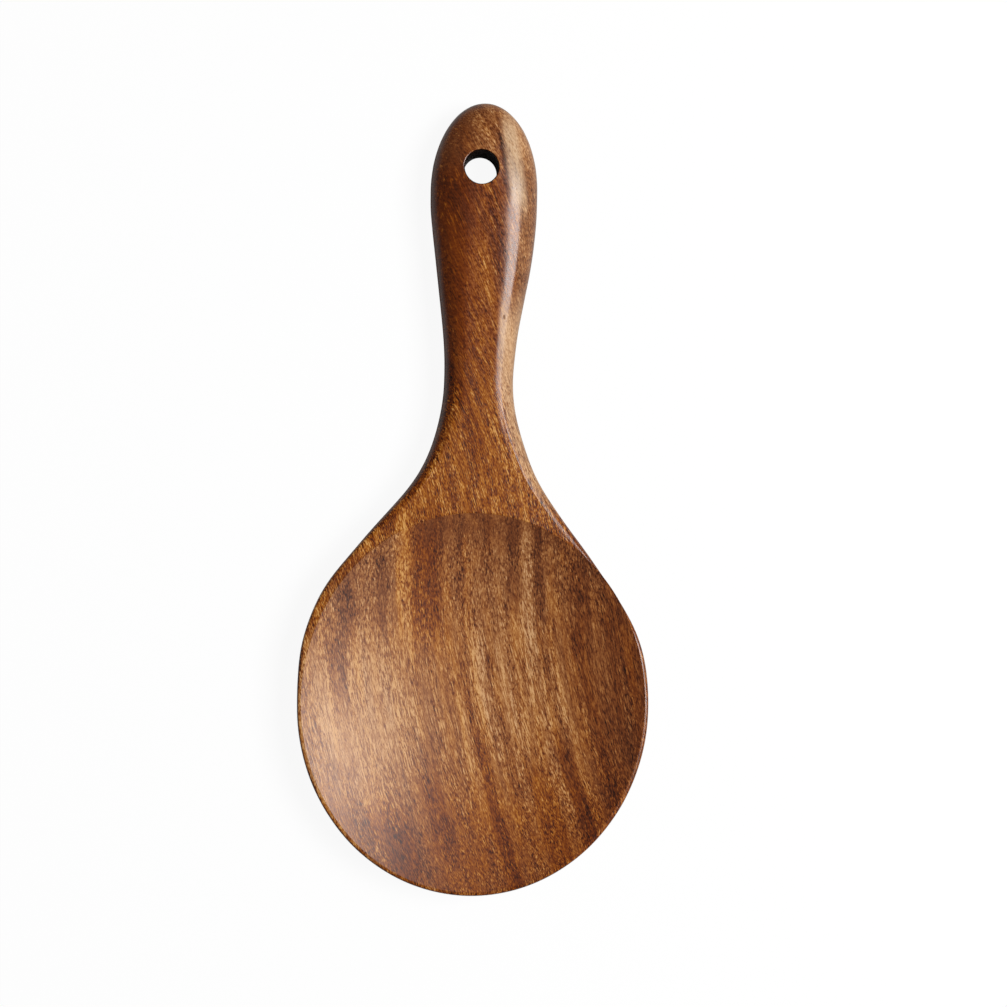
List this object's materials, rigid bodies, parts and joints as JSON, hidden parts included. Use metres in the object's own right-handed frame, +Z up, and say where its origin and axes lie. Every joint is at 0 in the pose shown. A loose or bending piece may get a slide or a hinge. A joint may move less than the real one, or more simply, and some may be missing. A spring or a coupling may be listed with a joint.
{
  "type": "rice paddle",
  "caption": "Carved wooden rice paddle: wide, round, shallow-dished head, flat shoulders, narrow neck and full rounded grip with a hang hole near its end.",
  "frame": {"origin": "under the middle of the paddle's length and width, on the surface that it lies on", "axes": "+Z up, out of the dish; +Y from the tip of the head to the butt of the handle; +X to the right seen from above with the handle pointing away"},
  "size_m": [0.105, 0.2374, 0.017],
  "materials": {
    "wood": "oiled, satin"
  },
  "bodies": {
    "root": {"paddle": "wood"}
  },
  "joints": []
}
